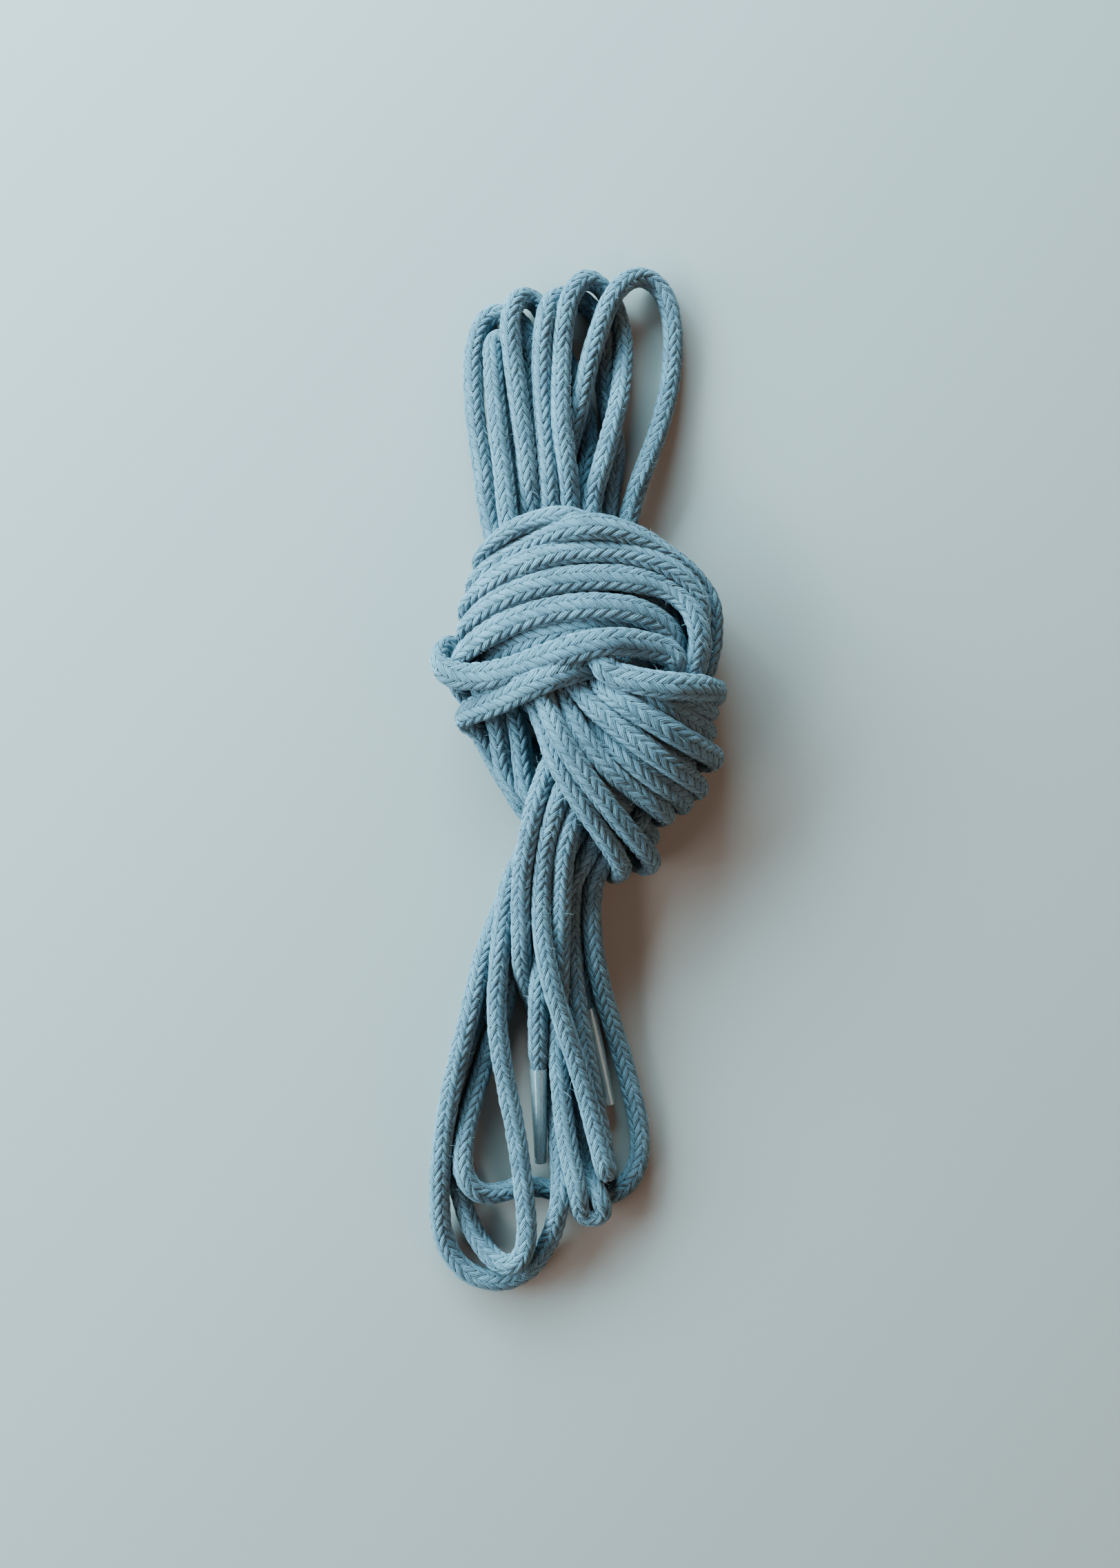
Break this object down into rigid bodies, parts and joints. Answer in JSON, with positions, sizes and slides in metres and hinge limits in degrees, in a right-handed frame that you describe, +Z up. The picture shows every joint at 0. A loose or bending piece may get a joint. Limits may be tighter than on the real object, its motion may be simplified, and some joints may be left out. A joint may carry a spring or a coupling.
{
  "type": "tied hank of braided lace",
  "caption": "Long round braided lace folded into a bundle and tied on itself in one overhand knot, with loops at each end and clear aglets on its free ends.",
  "frame": {"origin": "on the flat underside of the knot, under its neck", "axes": "+Z up off the surface it lies on, +Y along the bundle towards the short loops, +X across it"},
  "size_m": [0.0673, 0.2351, 0.0261],
  "materials": {
    "lace": "fuzzy matte braided cotton",
    "aglet": "clear film, glossy"
  },
  "bodies": {
    "root": {"knot": "lace", "top_loop_1": "lace", "top_loop_2": "lace", "top_loop_3": "lace", "top_loop_4": "lace", "top_loop_5": "lace", "top_loop_6": "lace", "bottom_loop_1": "lace", "bottom_loop_2": "lace", "bottom_loop_3": "lace", "bottom_loop_4": "lace", "bottom_loop_5": "lace", "tail_1": "lace", "tail_2": "lace", "aglet_1": "aglet", "aglet_2": "aglet", "lace_end_1": "lace", "lace_end_2": "lace"}
  },
  "joints": []
}
